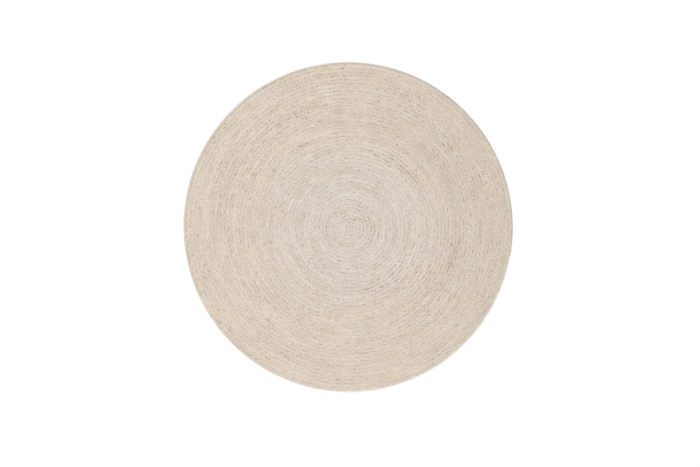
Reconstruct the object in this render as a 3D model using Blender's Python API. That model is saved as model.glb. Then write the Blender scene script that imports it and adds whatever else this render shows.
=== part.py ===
"""Round braided jute rug: one flat plait wound into a spiral and laced edge to edge.

The plait is cut into one solid for each turn of the spiral, from the curl at the centre to the
tapered tail that closes the rim, and the lacing thread runs in the groove under the seam.
Metres, +Z up, origin on the floor at the centre of the disc.
"""

import math

import bmesh
import bpy

# Driving dimensions, in metres and turns.
RUG_RADIUS = 0.75
FULL_TURNS = 43
THICKNESS = 0.009
COIL_OFFSET = (0.007, -0.007)  # the coil starts a little off the centre of the disc
COIL_PHASE = math.radians(101.25)  # direction of the seam where the turns begin, plus half a turn
GAP = 0.0003  # clearance between neighbouring solids
EDGE_SHARE = 0.19  # share of the plait's width taken by each sloping edge
CORE_RADIUS = 0.0003  # the curl closes on itself at the centre
TAIL_STEPS = 26  # straight steps in the tapered tail, of the 32 in a turn

THREAD_HALF_WIDTH = 0.0009
THREAD_BOTTOM = 0.0009
THREAD_TOP = 0.0024
THREAD_START = 0.25  # turns of the plait on the seam's inner side
THREAD_STOP = 43.0

COARSE_STEPS = 8  # straight steps in a turn near the centre, doubled twice on the way out
COARSE_TURNS = 3
MIDDLE_TURNS = 13

CENTRE_COLOUR = (0.69, 0.61, 0.53)
RIM_COLOUR = (0.66, 0.57, 0.47)
THREAD_COLOUR = (0.52, 0.43, 0.32)
PLAIT_ROUGHNESS = 0.9
THREAD_ROUGHNESS = 0.85

# Worked out from them: the first curl and the last taper each fill half a pitch at the seam.
PITCH = RUG_RADIUS / (FULL_TURNS + 1)
FIRST_TURN = 0.5
TAPER_START = FULL_TURNS + FIRST_TURN


def clear_scene():
    for old in list(bpy.data.objects):
        bpy.data.objects.remove(old, do_unlink=True)


def fabric_material(name, colour, roughness):
    material = bpy.data.materials.new(name)
    material.use_nodes = True
    shader = material.node_tree.nodes["Principled BSDF"]
    shader.inputs["Base Color"].default_value = (*colour, 1.0)
    shader.inputs["Roughness"].default_value = roughness
    shader.inputs["Metallic"].default_value = 0.0
    material.diffuse_color = (*colour, 1.0)
    return material


def steps_in_turn(turn):
    """Straight steps used for one turn. Doubling keeps the outer turns clear of the inner ones."""
    if turn <= COARSE_TURNS:
        return COARSE_STEPS
    if turn <= MIDDLE_TURNS:
        return COARSE_STEPS * 2
    return COARSE_STEPS * 4


def coil_point(turns, radius, height):
    """Point at a radius in the direction reached after so many clockwise turns."""
    angle = COIL_PHASE - 2.0 * math.pi * turns
    shift = 1.0 - radius / RUG_RADIUS
    return (
        COIL_OFFSET[0] * shift + radius * math.cos(angle),
        COIL_OFFSET[1] * shift + radius * math.sin(angle),
        height,
    )


def plait_section(turns):
    """Six corners of the plait's outline, flat above and below, with sloping edges."""
    inner = max(PITCH * (turns - 0.5) + GAP / 2, CORE_RADIUS)
    outer = min(PITCH * (turns + 0.5), RUG_RADIUS)
    if outer < RUG_RADIUS:
        outer -= GAP / 2
    edge = EDGE_SHARE * (outer - inner)
    return [
        coil_point(turns, inner, THICKNESS / 2),
        coil_point(turns, inner + edge, 0.0),
        coil_point(turns, outer - edge, 0.0),
        coil_point(turns, outer, THICKNESS / 2),
        coil_point(turns, outer - edge, THICKNESS),
        coil_point(turns, inner + edge, THICKNESS),
    ]


def thread_section(turns):
    """Three corners of the thread, in the groove below the seam with the next turn out."""
    radius = PITCH * (turns + 0.5)
    return [
        coil_point(turns, radius, THREAD_TOP),
        coil_point(turns, radius - THREAD_HALF_WIDTH, THREAD_BOTTOM),
        coil_point(turns, radius + THREAD_HALF_WIDTH, THREAD_BOTTOM),
    ]


def between(first, second, share):
    """Section part of the way along the straight step from one section to the next."""
    return [
        tuple(a + (b - a) * share for a, b in zip(near, far))
        for near, far in zip(first, second)
    ]


def loft(name, sections, material, collection):
    """One closed solid through a row of sections, capped at both ends."""
    mesh = bmesh.new()
    rows = [[mesh.verts.new(point) for point in section] for section in sections]
    corners = len(sections[0])
    for near, far in zip(rows, rows[1:]):
        for corner in range(corners):
            after = (corner + 1) % corners
            mesh.faces.new((near[corner], near[after], far[after], far[corner]))
    mesh.faces.new(list(reversed(rows[0])))
    mesh.faces.new(rows[-1])
    bmesh.ops.recalc_face_normals(mesh, faces=mesh.faces[:])
    if mesh.calc_volume(signed=True) < 0.0:
        bmesh.ops.reverse_faces(mesh, faces=mesh.faces[:])
    data = bpy.data.meshes.new(name)
    mesh.to_mesh(data)
    mesh.free()
    data.materials.append(material)
    piece = bpy.data.objects.new(name, data)
    collection.objects.link(piece)
    return piece


def plait_length(name, start, count, steps_per_turn, colour, collection):
    """So many straight steps of the plait, ending short of the next solid by the gap."""
    sections = [plait_section(start + index / steps_per_turn) for index in range(count + 1)]
    last_step = math.dist(sections[-2][3], sections[-1][3])
    sections[-1] = between(sections[-2], sections[-1], 1.0 - GAP / last_step)
    return loft(name, sections, fabric_material(name, colour, PLAIT_ROUGHNESS), collection)


def turn_colour(turns):
    share = min(turns / FULL_TURNS, 1.0)
    return tuple(a + (b - a) * share for a, b in zip(CENTRE_COLOUR, RIM_COLOUR))


def make_centre_curl(collection):
    """The plait's folded beginning, which widens from nothing in its first turn."""
    start = -FIRST_TURN + 1.0 / COARSE_STEPS
    plait_length("centre_curl", start, COARSE_STEPS - 1, COARSE_STEPS, CENTRE_COLOUR, collection)


def make_turns(collection):
    for turn in range(1, FULL_TURNS + 1):
        start = turn - 1 + FIRST_TURN
        steps = steps_in_turn(turn)
        name = f"braid_turn_{turn:02d}"
        plait_length(name, start, steps, steps, turn_colour(turn), collection)


def make_tail(collection):
    """The last stretch, thinned away against the turn inside it so that the rim is round."""
    steps = steps_in_turn(FULL_TURNS)
    plait_length("braid_tail", TAPER_START, TAIL_STEPS, steps, RIM_COLOUR, collection)


def make_thread(collection):
    """One thread all along the seam, in the same straight steps as the turn outside it."""
    places = [THREAD_START]
    while places[-1] < THREAD_STOP:
        outer_turn = math.floor(places[-1] - FIRST_TURN) + 2
        places.append(places[-1] + 1.0 / steps_in_turn(outer_turn))
    sections = [thread_section(place) for place in places]
    material = fabric_material("lacing_thread", THREAD_COLOUR, THREAD_ROUGHNESS)
    loft("lacing_thread", sections, material, collection)


def main():
    clear_scene()
    collection = bpy.data.collections.new("area_rug")
    bpy.context.scene.collection.children.link(collection)
    make_centre_curl(collection)
    make_turns(collection)
    make_tail(collection)
    make_thread(collection)


main()
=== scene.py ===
"""Looks of the round braided jute rug: every strand of the plait, laced turn to turn.

The plait runs clockwise outwards from the curl at the centre to the thinned tail at the rim.
Lengths are metres. "turns" counts round the coil from its centre. "phase" is how far the strands
have swung across the plait, in radians, so that a full circle is one cycle of the plait.
"""

import math
import re

import bpy
import numpy as np
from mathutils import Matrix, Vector


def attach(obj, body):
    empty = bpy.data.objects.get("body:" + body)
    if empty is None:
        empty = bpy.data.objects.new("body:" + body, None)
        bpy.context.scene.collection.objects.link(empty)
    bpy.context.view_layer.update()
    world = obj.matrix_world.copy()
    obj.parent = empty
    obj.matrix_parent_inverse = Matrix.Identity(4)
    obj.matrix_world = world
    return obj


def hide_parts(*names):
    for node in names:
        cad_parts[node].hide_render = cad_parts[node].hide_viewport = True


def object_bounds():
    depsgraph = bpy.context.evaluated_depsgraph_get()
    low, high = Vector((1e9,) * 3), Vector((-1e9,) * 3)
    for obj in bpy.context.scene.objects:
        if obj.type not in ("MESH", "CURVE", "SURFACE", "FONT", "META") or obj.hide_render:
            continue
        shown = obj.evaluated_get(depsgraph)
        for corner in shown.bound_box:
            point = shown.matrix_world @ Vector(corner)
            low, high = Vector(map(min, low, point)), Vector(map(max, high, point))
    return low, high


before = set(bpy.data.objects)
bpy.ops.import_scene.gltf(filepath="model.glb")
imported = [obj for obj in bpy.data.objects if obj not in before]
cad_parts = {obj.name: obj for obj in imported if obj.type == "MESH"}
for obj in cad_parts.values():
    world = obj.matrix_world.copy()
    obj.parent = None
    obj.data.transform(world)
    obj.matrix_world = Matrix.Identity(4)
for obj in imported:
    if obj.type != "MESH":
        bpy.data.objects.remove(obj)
cad_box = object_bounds()
CIRCLE = 2.0 * math.pi

# The coil, from the frame
TURN_NODES = sorted(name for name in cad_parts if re.fullmatch(r"braid_turn_\d+", name))
RUG_RADIUS = (cad_box[1][0] - cad_box[0][0]) / 2
THICKNESS = cad_box[1][2] - cad_box[0][2]
PITCH = RUG_RADIUS / (len(TURN_NODES) + 1)
COIL_OFFSET = np.array((0.007, -0.007))  # of the coil's centre from the disc's
COIL_PHASE = math.radians(101.25)  # direction of the plait's middle at turn 0
COIL_START = -0.40  # turns at which the curl's first loop begins
FIRST_SEAM = 0.5  # turns at which the first full turn begins
TAPER_START = len(TURN_NODES) + FIRST_SEAM
COIL_STOP = TAPER_START + 0.81
PATH_STEPS = 240_000  # points of the coil's middle line

# The plait
STRANDS = 3
CYCLE = 0.036  # length in which a strand crosses the plait and comes back
CYCLE_SPREAD = 0.08
CYCLE_WAVE = 0.06  # length of plait over which its cycle changes
CYCLE_POWER = 0.6  # how the cycle shortens where the plait is narrow
STEPS_PER_CYCLE = 15
PHASE_STEP = CIRCLE / STEPS_PER_CYCLE
SIDES = 10
SWING_SHARE = 0.425  # how far a strand swings from the middle, of the plait's width
SWING_FULLNESS = 0.75  # below 1, a strand stays longer at the sides than a sine would
SWING_SPREAD = 0.03
FAT_SPREAD = (0.03, 0.02)  # unevenness of a strand's width: everywhere, and more where it is coarse
HEIGHT_SPREAD = (0.03, 0.07)
FLAT_HALF_WIDTH = 0.275  # of the plait's width, where a strand lies flat across the middle
EDGE_HALF_WIDTH = 0.155  # of the plait's width, where it stands on edge in a side loop
FLAT_HALF_HEIGHT = 0.235  # of the plait's thickness
EDGE_HALF_HEIGHT = 0.43
EDGE_POWER = 5  # how briefly a strand stands on edge
SQUARENESS = 0.80  # below 1, a strand's section is fuller than an ellipse
THIN_SHARE = 0.45  # of the thickness, where the plait narrows to nothing
STRAND_SLANT = 1.2  # length of strand for each length of plait
STRAND_TWIST = 0.045  # length of strand in which its fibres go once round it

# How the turns lie against each other
SEAM_SPREAD = 0.0011  # how far a seam wanders from an even coil
SEAM_WAVE = 0.09
CONTACT = 0.00006  # clearance where the loops of neighbouring turns press together
INTERLOCK = 0.0012  # how far a side loop reaches into the gap between two loops of the next turn
LOOPS_PER_CYCLE = 3.0
# Share of the interlock that is left: it falls with looseness, and is held from the least to 1
TIGHT_FROM = 1.4
TIGHT_FALL = 0.45
TIGHT_LEAST = 0.25
SLACK = 0.0015  # most that a side loop draws back where the lacing is slack
SLACK_FROM = 1.25
SLACK_BY_LOOSENESS = 0.5
SLACK_FLOOR = 0.25  # the loops still touch below this share of the thickness
SLACK_SLOPE = 0.35

# The lacing thread
STITCH = 0.026  # length of seam taken by one stitch out and one back
STITCH_STEPS = 6
THREAD_SIDES = 4
THREAD_RADIUS = 0.0006
THREAD_SWING = 0.0026
THREAD_LOW = 0.0007  # height of its middle where it crosses a seam
THREAD_HIGH = 0.0028  # height at which it goes through a loop
THREAD_START = 0.25
THREAD_STOP = TAPER_START - FIRST_SEAM
THREAD_TONE_SPREAD = 0.06
THREAD_TONE_WAVE = 0.30

# Fibres, in noise cells
FIBRES_ALONG = 45.0  # for each metre along a strand
FIBRES_AROUND = 7.0  # for the radius of a strand's section
STRAND_APART = 23.0  # between one strand's fibres and the next one's
THREAD_FIBRES_ALONG = 400.0

# Seeds
SEED = 611
SEAM_SEED = 1
PULL_SEED = 2
BLOTCHES = ((0.06, 21), (0.16, 22))  # size of the browner blotches, and their seed
WARMTH_SIZE = 0.06
WARMTH_SEED = 23
OPEN_SEED = 24
COARSE_SEED = 25
THREAD_SEED = 31
PATCH_WAVES = 24
WAVES = {
    # what changes along a strand: the phase from one random height to the next, and the seed
    "fatness": (5.0, 1),
    "swing": (9.0, 2),
    "height": (3.0, 8),
    "slack": (2.0, 12),  # taken for the plait's two edges, not for its strands
    "batch": (260.0, 3),  # brown over a long batch of jute, and below it over shorter lengths
    "handful": (22.0, 9),
    "lot": (14.0, 4),
    "loop": (3.0, 5),
    "fleck": (1.8, 6),
    "patch": (14.0, 7),  # how much a strand shows of a dark run
    "warmth": (30.0, 10),
}

# Unevenness of the lacing and of the strands across the whole rug
UNEVEN_MEAN = 0.70
UNEVEN_SPREAD = 0.45
UNEVEN_SIZE = 0.10
UNEVEN_MOST = 2.5

# Places on the rug. Radius and half width are shares of the rug's radius, and directions and
# half angles are degrees.
OPEN_AREAS = (
    # where the lacing is loose: radius, half width, direction, half angle, strength
    (0.46, 0.38, -38.0, 38.0, 1.15),
    (0.48, 0.05, 48.0, 22.0, 1.2),
    (0.72, 0.10, 180.0, 25.0, 0.3),
    (0.07, 0.05, -30.0, 80.0, 1.2),
)
COARSE_AREAS = (
    # where the strands are uneven, in the same measures
    (0.46, 0.38, -38.0, 38.0, 0.4),
    (0.85, 0.18, 5.0, 30.0, 0.6),
    (0.70, 0.28, 130.0, 38.0, 1.1),
    (0.62, 0.15, -98.0, 30.0, 0.5),
)
DARK_RUNS = (
    # lengths of browner jute: radius, half width, start, end, strength
    (0.660, 0.024, -30.0, 60.0, 0.26),
    (0.650, 0.012, 55.0, 112.0, 0.18),
    (0.490, 0.006, 32.0, 66.0, 0.50),
    (0.760, 0.012, 98.0, 182.0, 0.22),
    (0.850, 0.012, 228.0, 282.0, 0.20),
    (0.930, 0.016, 75.0, 118.0, 0.20),
    (0.480, 0.008, 66.0, 84.0, 0.34),
    (0.300, 0.008, -60.0, 30.0, 0.14),
    (0.600, 0.010, 200.0, 250.0, 0.12),
)
RUN_FADE = 8.0  # degrees over which a run starts and ends
RIM_FROM = 0.30  # radius at which the cream starts to turn to beige
RIM_WIDTH = 0.35
PAINTED_SHADE_SIDE = 12.0  # direction of the rug's side that is a little darker: painted shade
PAINTED_SHADE_BY = 0.065
PAINTED_SHADE_FROM = 0.45
PAINTED_SHADE_WIDTH = 0.2

# Colours, linear
CENTRE_CREAM = np.array((0.752, 0.690, 0.630))
RIM_BEIGE = np.array((0.762, 0.686, 0.602))
TAN = np.array((0.50, 0.38, 0.26))
THREAD_TAN = np.array((0.58, 0.48, 0.36))
WARM_TINT = np.array((0.002, -0.001, -0.009))
LIGHTEST = -0.15  # least and most share of tan in the jute
BROWNEST = 0.60
BATCH_BROWN = 0.020
HANDFUL_BROWN = 0.030
LOT_BROWN = 0.045
BLOTCH_BROWN = 0.014
LOOP_BROWN = (0.04, 0.05)  # everywhere, and more where the strands are coarse
FLECK_FROM = 1.6
FLECK_BROWN = 0.45
FIBRE_TONES_AND_PAINTED_SHADE = (
    # where the streaks are at most this high, the jute is shaded this much: darker, browner fibres, and
    # painted shade in the low gaps between fibres
    (0.34, (0.58, 0.50, 0.40)),
    (0.43, (0.82, 0.79, 0.75)),
    (0.55, (0.93, 0.93, 0.92)),
    (0.68, (1.00, 1.00, 1.00)),
)
SHADE_GAIN = 1.10  # makes up for the darker fibres and the painted shade between them, which only darken

# The studio
FLOOR_SIZE = 60.0
FLOOR_DROP = 0.0005  # keeps the floor clear of the rug's underside
FLOOR_WHITE = (0.97, 0.97, 0.97, 1.0)
WORLD_STRENGTH = 0.84
LAMP_ANGLE = math.radians(25.0)  # width of the lamps in the sky, for soft shadows
STUDIO_LAMPS = (
    # name, strength and the direction that the light comes from
    ("key", 0.55, (-0.35, 0.65, 0.8)),
    ("fill", 0.45, (0.35, -0.65, 0.8)),
)
CAMERA_LENS = 85.0
VIEW_WIDTH = 4.2564 * RUG_RADIUS  # width of the picture, at the height of the rug's top
CAMERA_AIM = (0.0107 * RUG_RADIUS, -0.0403 * RUG_RADIUS)


def seeded_curve(where, seed, count):
    """A smooth uneven curve of about unit spread, with one random height at each whole number."""
    knots = np.random.default_rng(SEED + seed).normal(size=count + 2)
    cell = np.clip(where.astype(int), 0, count)
    share = np.clip(where - cell, 0.0, 1.0)
    share = share * share * (3.0 - 2.0 * share)
    return knots[cell] * (1.0 - share) + knots[cell + 1] * share


def coil_xy(turns, radius):
    angle = COIL_PHASE - CIRCLE * turns
    shift = 1.0 - radius / RUG_RADIUS
    x = COIL_OFFSET[0] * shift + radius * np.cos(angle)
    y = COIL_OFFSET[1] * shift + radius * np.sin(angle)
    return x, y


def travelled(turns, radius):
    """Length along a line that winds with the coil."""
    x, y = coil_xy(turns, radius)
    return np.concatenate(((0.0,), np.cumsum(np.hypot(np.diff(x), np.diff(y)))))


class Coil:
    """The plait's middle line: where it is, how wide it is and how far its strands have swung."""

    def __init__(self):
        share = np.linspace(0.0, 1.0, PATH_STEPS)
        self.turns = COIL_START + (COIL_STOP - COIL_START) * np.sqrt(share)
        outer = np.minimum(PITCH * (self.turns + 0.5), RUG_RADIUS)
        seam_length = travelled(self.turns, outer)
        waves = int(seam_length[-1] / SEAM_WAVE)
        seam = SEAM_SPREAD * seeded_curve(seam_length / SEAM_WAVE, SEAM_SEED, waves)
        seam = seam * np.clip((RUG_RADIUS - outer) / PITCH, 0.0, 1.0) * np.clip(self.turns, 0.0, 1.0)
        self.outer = outer + seam
        inner_seam = np.interp(self.turns - 1.0, self.turns, seam)
        self.inner = np.maximum(PITCH * (self.turns - 0.5) + inner_seam, 0.0)
        self.width = self.outer - self.inner
        self.radius = (self.inner + self.outer) / 2
        self.length = travelled(self.turns, self.radius)
        pulls = int(self.length[-1] / CYCLE_WAVE)
        self.pull = 1.0 + CYCLE_SPREAD * seeded_curve(self.length / CYCLE_WAVE, PULL_SEED, pulls)
        cycle = CYCLE * (self.width / PITCH) ** CYCLE_POWER * self.pull
        rate = CIRCLE / cycle
        swung = np.cumsum((rate[1:] + rate[:-1]) / 2 * np.diff(self.length))
        self.phase = np.concatenate(((0.0,), swung))

    def at_phase(self, phase, values):
        return np.interp(phase, self.phase, values)

    def phase_at_turn(self, turns):
        return np.interp(turns, self.turns, self.phase)

    def interlock(self, turns):
        """How far the seam outside each place bends outwards, between the loops that meet there."""
        inner_loops = np.sin(LOOPS_PER_CYCLE * self.phase_at_turn(turns))
        outer_loops = np.sin(LOOPS_PER_CYCLE * self.phase_at_turn(turns + 1.0))
        inside = np.clip(TAPER_START - 1.0 - turns, 0.0, 1.0) * np.clip(turns, 0.0, 1.0)
        loose = strength_at(OPEN_AREAS, OPEN_SEED, turns, PITCH * (turns + 0.5))
        tight = np.clip(TIGHT_FROM - TIGHT_FALL * loose, TIGHT_LEAST, 1.0)
        return -INTERLOCK / 2 * (inner_loops + outer_loops) * inside * tight


def patches(x, y, size, seed):
    """Smooth seeded blotches of about unit spread and the given size across the rug."""
    rng = np.random.default_rng(SEED + seed)
    total = np.zeros(len(x))
    for _ in range(PATCH_WAVES):
        heading = rng.uniform(0.0, CIRCLE)
        rate = CIRCLE / (size * rng.uniform(1.2, 3.0))
        start = rng.uniform(0.0, CIRCLE)
        total += np.sin(rate * (x * math.cos(heading) + y * math.sin(heading)) + start)
    return total * math.sqrt(2.0 / PATCH_WAVES)


def degrees_at(turns):
    return math.degrees(COIL_PHASE) - 360.0 * turns


def strength_at(areas, seed, turns, radius):
    """How strong an unevenness is at each place: blotches over the whole rug, and stronger areas."""
    share = radius / RUG_RADIUS
    x, y = coil_xy(turns, radius)
    strength = UNEVEN_MEAN + UNEVEN_SPREAD * patches(x, y, UNEVEN_SIZE, seed)
    for middle, half_width, direction, half_angle, peak in areas:
        aside = (degrees_at(turns) - direction + 180.0) % 360.0 - 180.0
        off = ((share - middle) / half_width) ** 2 + (aside / half_angle) ** 2
        strength += peak * np.exp(-off)
    return np.clip(strength, 0.0, UNEVEN_MOST)


coil = Coil()


def wander(phase, strand, wave):
    """Uneven curve along one strand, the same for every piece that the strand runs through."""
    scale, seed = WAVES[wave]
    return seeded_curve(phase / scale, seed * 10 + strand, int(coil.phase[-1] / scale) + 2)


def fuller(wave, power):
    """The wave with its sides filled out, for a power below 1."""
    return np.sign(wave) * np.abs(wave) ** power


def section_axes(centre):
    """Two directions square to a line at each of its points: one level, and one upwards."""
    tangent = np.gradient(centre, axis=0)
    tangent /= np.linalg.norm(tangent, axis=1)[:, None] + 1e-12
    across = np.stack((tangent[:, 1], -tangent[:, 0], np.zeros(len(centre))), axis=1)
    across /= np.linalg.norm(across, axis=1)[:, None] + 1e-12
    up = np.cross(across, tangent)
    up *= np.where(up[:, 2] < 0.0, -1.0, 1.0)[:, None]
    return across, up


def rings(centre, half_width, half_height, sides, first_corner, squareness):
    """Corners of the sections round a line, each measured from its own point of the line."""
    around = CIRCLE * (np.arange(sides) + first_corner) / sides
    across, up = section_axes(centre)
    wide = (across * half_width[:, None])[:, None, :] * fuller(np.cos(around), squareness)[None, :, None]
    high = (up * half_height[:, None])[:, None, :] * fuller(np.sin(around), squareness)[None, :, None]
    return wide + high


def spread(pair, coarse):
    """Unevenness at each place, from its values where the strands are even and for coarseness."""
    return pair[0] + pair[1] * coarse


def pressed_back(reach, height, phase, turns, width, loose):
    """How far each corner moves outwards, at most as far as the loops of the turns beside it allow."""
    upper = np.clip((height - SLACK_FLOOR) / SLACK_SLOPE, 0.0, 1.0)
    slack = np.stack([wander(phase, edge, "slack") for edge in range(2)])
    slack = np.clip(slack + SLACK_BY_LOOSENESS * loose - SLACK_FROM, 0.0, 1.0) * SLACK * width / PITCH
    wall = width / 2 - CONTACT
    inner_wall = (wall - coil.interlock(turns - 1.0))[:, None] - slack[0][:, None] * upper
    outer_wall = (wall + coil.interlock(turns))[:, None] - slack[1][:, None] * upper
    return np.clip(reach, -inner_wall, outer_wall) - reach


def strand_sections(strand, first, last):
    """Rings of points round one strand at every step from the first to the last."""
    phase = np.clip(np.arange(first - 1, last + 2) * PHASE_STEP, 0.0, coil.phase[-1])
    turns = coil.at_phase(phase, coil.turns)
    width = coil.at_phase(phase, coil.width)
    radius = coil.at_phase(phase, coil.radius)
    thickness = THICKNESS * (THIN_SHARE + (1.0 - THIN_SHARE) * np.clip(width / PITCH, 0.0, 1.0))
    swing = phase + CIRCLE * strand / STRANDS
    edge = np.abs(np.sin(swing)) ** EDGE_POWER
    coarse = strength_at(COARSE_AREAS, COARSE_SEED, turns, radius)
    loose = strength_at(OPEN_AREAS, OPEN_SEED, turns, radius)

    fat = coil.at_phase(phase, coil.pull) + spread(FAT_SPREAD, coarse) * wander(phase, strand, "fatness")
    half_width = width * fat * (FLAT_HALF_WIDTH + (EDGE_HALF_WIDTH - FLAT_HALF_WIDTH) * edge)
    half_height = thickness * (FLAT_HALF_HEIGHT + (EDGE_HALF_HEIGHT - FLAT_HALF_HEIGHT) * edge)
    half_height = half_height * (1.0 + spread(HEIGHT_SPREAD, coarse) * wander(phase, strand, "height"))

    side = SWING_SHARE * width * fuller(np.sin(swing), SWING_FULLNESS)
    side = side * (1.0 + SWING_SPREAD * wander(phase, strand, "swing"))
    lift = (0.5 - FLAT_HALF_HEIGHT) * thickness * np.sin(2.0 * swing)
    x, y = coil_xy(turns, radius + side)
    centre = np.stack((x, y, thickness * 0.5 + lift), axis=1)
    ring = rings(centre, half_width, half_height, SIDES, 0.5, SQUARENESS)

    angle = COIL_PHASE - CIRCLE * turns
    outward = np.stack((np.cos(angle), np.sin(angle), np.zeros(len(phase))), axis=1)
    reach = side[:, None] + np.einsum("nsk,nk->ns", ring, outward)
    height = (centre[:, None, 2] + ring[:, :, 2]) / THICKNESS
    pressed = pressed_back(reach, height, phase, turns, width, loose)
    ring = centre[:, None, :] + ring + pressed[:, :, None] * outward[:, None, :]
    ring[:, :, 2] = np.clip(ring[:, :, 2], 0.0, THICKNESS)
    keep = slice(1, -1)
    return {
        "phase": phase[keep],
        "turns": turns[keep],
        "radius": (radius + side)[keep],
        "coarse": coarse[keep],
        "along": coil.at_phase(phase, coil.length)[keep] * STRAND_SLANT,
        "ring": ring[keep],
    }


def dark_runs(share, angle):
    """How strongly each place lies in a length of browner jute."""
    total = np.zeros(len(share))
    for middle, half_width, start, end, strength in DARK_RUNS:
        turned = (angle - start) % 360.0
        fade = np.clip(np.minimum(turned, end - start - turned) / RUN_FADE, 0.0, 1.0)
        total += strength * fade * np.exp(-(((share - middle) / half_width) ** 2))
    return total


def brownness(strand, row, share, x, y):
    """Share of tan in the jute along one strand. Below zero, it is lighter than its base colour."""
    phase = row["phase"]
    brown = BATCH_BROWN * wander(phase, strand, "batch")
    brown += HANDFUL_BROWN * wander(phase, 0, "handful")  # one curve for all three strands
    brown += LOT_BROWN * wander(phase, strand, "lot")
    for size, seed in BLOTCHES:
        brown += BLOTCH_BROWN * patches(x, y, size, seed)
    brown += spread(LOOP_BROWN, row["coarse"]) * wander(phase, strand, "loop")
    fleck = np.clip(wander(phase, strand, "fleck") - FLECK_FROM, 0.0, 1.0)
    brown += FLECK_BROWN * row["coarse"] * fleck
    patch = 0.5 + 0.5 * np.tanh(wander(phase, strand, "patch"))
    brown += dark_runs(share, degrees_at(row["turns"])) * patch
    return np.clip(brown, LIGHTEST, BROWNEST)


def strand_colour(strand, row):
    """Linear colour along one strand: cream to beige outwards, with painted shade on one side, browner
    jute and warmer jute.
    """
    share = row["radius"] / RUG_RADIUS
    x, y = coil_xy(row["turns"], row["radius"])
    rim = np.clip((share - RIM_FROM) / RIM_WIDTH, 0.0, 1.0)[:, None]
    colour = CENTRE_CREAM * (1.0 - rim) + RIM_BEIGE * rim
    # painted shade: one side of the rug, out from the middle, is made a little darker
    facing = np.cos(np.radians(degrees_at(row["turns"]) - PAINTED_SHADE_SIDE))
    painted_shade = np.clip(facing, 0.0, 1.0) * np.clip((share - PAINTED_SHADE_FROM) / PAINTED_SHADE_WIDTH, 0.0, 1.0)
    colour = colour * (1.0 - PAINTED_SHADE_BY * painted_shade)[:, None]
    brown = brownness(strand, row, share, x, y)[:, None]
    colour = colour * (1.0 - brown) + TAN * brown
    warmth = wander(row["phase"], strand, "warmth") + patches(x, y, WARMTH_SIZE, WARMTH_SEED)
    colour = colour * (1.0 + warmth[:, None] * WARM_TINT)
    return np.clip(colour * SHADE_GAIN, 0.0, 1.0)


def tube(ring, first_point):
    """Quads and caps of one closed tube through rings of points, with its points numbered on."""
    count, sides = ring.shape[:2]
    grid = first_point + np.arange(count * sides).reshape(count, sides)
    after = np.roll(grid, -1, axis=1)
    quads = np.stack((grid[:-1], grid[1:], after[1:], after[:-1]), axis=2).reshape(-1, 4)
    return quads, [grid[0], grid[-1][::-1]]


def strand_fibres(strand, along):
    """Where each point is among the fibres, which wind round the strand as they run along it."""
    around = CIRCLE * np.arange(SIDES) / SIDES
    twist = along[:, None] / STRAND_TWIST * CIRCLE + around[None, :]
    fibres = (
        np.broadcast_to(along[:, None], twist.shape) * FIBRES_ALONG,
        np.cos(twist) * FIBRES_AROUND + strand * STRAND_APART,
        np.sin(twist) * FIBRES_AROUND,
    )
    return np.stack(fibres, axis=2).reshape(-1, 3)


def build_mesh(name, points, quads, caps, tones, fibres, material):
    mesh = bpy.data.meshes.new(name)
    mesh.vertices.add(len(points))
    mesh.vertices.foreach_set("co", points.astype(np.float32).ravel())
    loops = np.concatenate((quads.ravel(), *caps))
    sizes = np.concatenate((np.full(len(quads), 4), [len(cap) for cap in caps]))
    starts = np.concatenate(((0,), np.cumsum(sizes)[:-1]))
    mesh.loops.add(len(loops))
    mesh.loops.foreach_set("vertex_index", loops.astype(np.int32))
    mesh.polygons.add(len(sizes))
    mesh.polygons.foreach_set("loop_start", starts.astype(np.int32))
    mesh.polygons.foreach_set("use_smooth", np.ones(len(sizes), dtype=bool))
    mesh.update(calc_edges=True)
    tone = mesh.attributes.new("jute_tone", "FLOAT_COLOR", "POINT")
    rgba = np.concatenate((tones, np.ones((len(tones), 1))), axis=1)
    tone.data.foreach_set("color", rgba.astype(np.float32).ravel())
    fibre = mesh.attributes.new("fibre", "FLOAT_VECTOR", "POINT")
    fibre.data.foreach_set("vector", fibres.astype(np.float32).ravel())
    mesh.validate()
    mesh.materials.append(material)
    piece = bpy.data.objects.new(name, mesh)
    bpy.context.scene.collection.objects.link(piece)
    return piece


def start_material(name):
    """A matte material, its tree, its shader, and the colour and fibre places from the mesh."""
    material = bpy.data.materials.new(name)
    material.use_nodes = True
    tree = material.node_tree
    shader = tree.nodes["Principled BSDF"]
    shader.inputs["Specular IOR Level"].default_value = 0.25
    tone = tree.nodes.new("ShaderNodeAttribute")
    tone.attribute_name = "jute_tone"
    fibre = tree.nodes.new("ShaderNodeAttribute")
    fibre.attribute_name = "fibre"
    return material, tree, shader, tone, fibre


def add_relief(tree, shader, height, smoothest, roughest, strength, distance):
    """Roughness and bump that both follow the height of the fibres."""
    rough = tree.nodes.new("ShaderNodeMapRange")
    rough.inputs["To Min"].default_value = smoothest
    rough.inputs["To Max"].default_value = roughest
    tree.links.new(height, rough.inputs["Value"])
    tree.links.new(rough.outputs["Result"], shader.inputs["Roughness"])
    bump = tree.nodes.new("ShaderNodeBump")
    bump.inputs["Strength"].default_value = strength
    bump.inputs["Distance"].default_value = distance
    tree.links.new(height, bump.inputs["Height"])
    tree.links.new(bump.outputs["Normal"], shader.inputs["Normal"])


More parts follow.
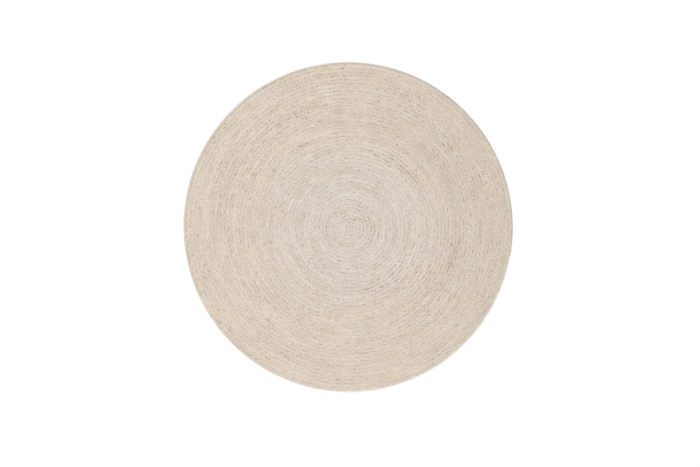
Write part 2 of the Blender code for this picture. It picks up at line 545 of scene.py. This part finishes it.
def jute_material():
    """Loose jute fibres: long streaks along the strand, with dark gaps between them that are partly
    browner fibres and partly painted shade.
    """
    material, tree, shader, tone, fibre = start_material("jute_braid")
    shader.inputs["Sheen Weight"].default_value = 0.12
    shader.inputs["Sheen Roughness"].default_value = 0.6

    streak = tree.nodes.new("ShaderNodeTexNoise")
    streak.inputs["Scale"].default_value = 1.0
    streak.inputs["Detail"].default_value = 5.0
    streak.inputs["Roughness"].default_value = 0.72
    tree.links.new(fibre.outputs["Vector"], streak.inputs["Vector"])

    # darker fibre tone and painted shade: the low streaks, which the bump sinks, are darkened and
    # browned
    shade = tree.nodes.new("ShaderNodeValToRGB")
    ramp = shade.color_ramp
    while len(ramp.elements) < len(FIBRE_TONES_AND_PAINTED_SHADE):
        ramp.elements.new(0.5)
    for element, (place, tint) in zip(ramp.elements, FIBRE_TONES_AND_PAINTED_SHADE):
        element.position = place
        element.color = (*tint, 1.0)
    tree.links.new(streak.outputs["Fac"], shade.inputs["Fac"])

    colour = tree.nodes.new("ShaderNodeVectorMath")
    colour.operation = "MULTIPLY"
    tree.links.new(tone.outputs["Color"], colour.inputs[0])
    tree.links.new(shade.outputs["Color"], colour.inputs[1])
    tree.links.new(colour.outputs["Vector"], shader.inputs["Base Color"])
    add_relief(
        tree, shader, streak.outputs["Fac"], smoothest=0.78, roughest=0.98, strength=0.8, distance=0.0010
    )
    return material


def thread_material():
    """Twisted twine: slanting plies, with painted shade in the dark lines between them."""
    material, tree, shader, tone, fibre = start_material("lacing_thread")
    ply = tree.nodes.new("ShaderNodeTexWave")
    ply.bands_direction = "DIAGONAL"
    ply.inputs["Scale"].default_value = 1.6
    ply.inputs["Distortion"].default_value = 1.5
    tree.links.new(fibre.outputs["Vector"], ply.inputs["Vector"])

    # painted shade: darker where the plies' bump is low, in the lines between them
    shade = tree.nodes.new("ShaderNodeMapRange")
    shade.inputs["To Min"].default_value = 0.78
    shade.inputs["To Max"].default_value = 1.05
    tree.links.new(ply.outputs["Fac"], shade.inputs["Value"])

    colour = tree.nodes.new("ShaderNodeVectorMath")
    colour.operation = "SCALE"
    tree.links.new(tone.outputs["Color"], colour.inputs[0])
    tree.links.new(shade.outputs["Result"], colour.inputs["Scale"])
    tree.links.new(colour.outputs["Vector"], shader.inputs["Base Color"])
    add_relief(
        tree, shader, ply.outputs["Fac"], smoothest=0.70, roughest=0.90, strength=0.6, distance=0.0003
    )
    return material


def plait_piece(name, node, start, stop, material):
    """The three strands of the plait from one place on the coil to another, as one piece."""
    first = int(round(float(coil.phase_at_turn(start)) / PHASE_STEP))
    last = int(round(float(coil.phase_at_turn(stop)) / PHASE_STEP))
    points, quads, caps, tones, fibres = [], [], [], [], []
    for strand in range(STRANDS):
        row = strand_sections(strand, first, last)
        strand_quads, strand_caps = tube(row["ring"], sum(map(len, points)))
        points.append(row["ring"].reshape(-1, 3))
        quads.append(strand_quads)
        caps.extend(strand_caps)
        tones.append(np.repeat(strand_colour(strand, row), SIDES, axis=0))
        fibres.append(strand_fibres(strand, row["along"]))
    points, quads, tones, fibres = map(np.concatenate, (points, quads, tones, fibres))
    piece = build_mesh(name, points, quads, caps, tones, fibres, material)
    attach(piece, "root")
    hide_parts(node)


def make_plait():
    material = jute_material()
    plait_piece("plait_centre_curl", "centre_curl", COIL_START, FIRST_SEAM, material)
    for index, node in enumerate(TURN_NODES):
        start = FIRST_SEAM + index
        plait_piece(node.replace("braid", "plait"), node, start, start + 1.0, material)
    plait_piece("plait_tail", "braid_tail", TAPER_START, COIL_STOP, material)


def make_thread():
    """The thread's stitches, which cross each seam low down and pierce the loops on both sides."""
    length = travelled(coil.turns, coil.outer)
    start = float(np.interp(THREAD_START, coil.turns, length))
    stop = float(np.interp(THREAD_STOP, coil.turns, length))
    count = int((stop - start) / STITCH * STITCH_STEPS)
    place = np.linspace(start, stop, count)
    turns = np.interp(place, length, coil.turns)
    radius = np.interp(place, length, coil.outer)
    swing = np.sin(np.arange(count) * CIRCLE / STITCH_STEPS)
    x, y = coil_xy(turns, radius + THREAD_SWING * swing)
    z = THREAD_LOW + (THREAD_HIGH - THREAD_LOW) * swing**2
    centre = np.stack((x, y, z), axis=1)
    size = np.full(count, THREAD_RADIUS)
    ring = centre[:, None, :] + rings(centre, size, size, THREAD_SIDES, 0.0, 1.0)
    quads, caps = tube(ring, 0)

    waves = int(place[-1] / THREAD_TONE_WAVE) + 1
    shade = 1.0 + THREAD_TONE_SPREAD * seeded_curve(place / THREAD_TONE_WAVE, THREAD_SEED, waves)
    tones = np.repeat(THREAD_TAN[None, :] * shade[:, None], THREAD_SIDES, axis=0)
    around = CIRCLE * np.arange(THREAD_SIDES) / THREAD_SIDES
    fibres = (
        np.broadcast_to(place[:, None] * THREAD_FIBRES_ALONG, (count, THREAD_SIDES)),
        np.broadcast_to(np.cos(around)[None, :], (count, THREAD_SIDES)),
        np.broadcast_to(np.sin(around)[None, :], (count, THREAD_SIDES)),
    )
    fibres = np.stack(fibres, axis=2).reshape(-1, 3)
    points = ring.reshape(-1, 3)
    piece = build_mesh("lacing_stitches", points, quads, caps, tones, fibres, thread_material())
    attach(piece, "root")
    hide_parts("lacing_thread")


def make_stage():
    height = cad_box[0][2] - FLOOR_DROP
    bpy.ops.mesh.primitive_plane_add(size=FLOOR_SIZE, location=(0.0, 0.0, height))
    floor = bpy.context.object
    floor.name = "studio_floor"
    material = bpy.data.materials.new("studio_floor")
    material.use_nodes = True
    shader = material.node_tree.nodes["Principled BSDF"]
    shader.inputs["Base Color"].default_value = FLOOR_WHITE
    shader.inputs["Roughness"].default_value = 1.0
    shader.inputs["Specular IOR Level"].default_value = 0.0
    floor.data.materials.append(material)


def make_light():
    """An even white surround, and two soft suns, so that the braid's relief has faint shadows."""
    world = bpy.data.worlds.new("studio")
    world.use_nodes = True
    background = world.node_tree.nodes["Background"]
    background.inputs["Color"].default_value = (1.0, 1.0, 1.0, 1.0)
    background.inputs["Strength"].default_value = WORLD_STRENGTH
    bpy.context.scene.world = world
    for name, energy, source in STUDIO_LAMPS:
        lamp = bpy.data.lights.new(name, "SUN")
        lamp.energy = energy
        lamp.angle = LAMP_ANGLE
        light = bpy.data.objects.new(name, lamp)
        light.rotation_euler = Vector(source).to_track_quat("Z", "Y").to_euler()
        bpy.context.scene.collection.objects.link(light)


def make_camera():
    """A long lens straight above the rug, with no tilt."""
    lens = bpy.data.cameras.new("camera")
    lens.lens = CAMERA_LENS
    lens.clip_end = 200.0
    distance = lens.lens / lens.sensor_width * VIEW_WIDTH
    camera = bpy.data.objects.new("camera", lens)
    camera.location = (*CAMERA_AIM, THICKNESS + distance)
    bpy.context.scene.collection.objects.link(camera)
    bpy.context.scene.camera = camera


make_plait()
make_thread()
make_stage()
make_light()
make_camera()
bpy.context.scene.view_settings.view_transform = "Standard"
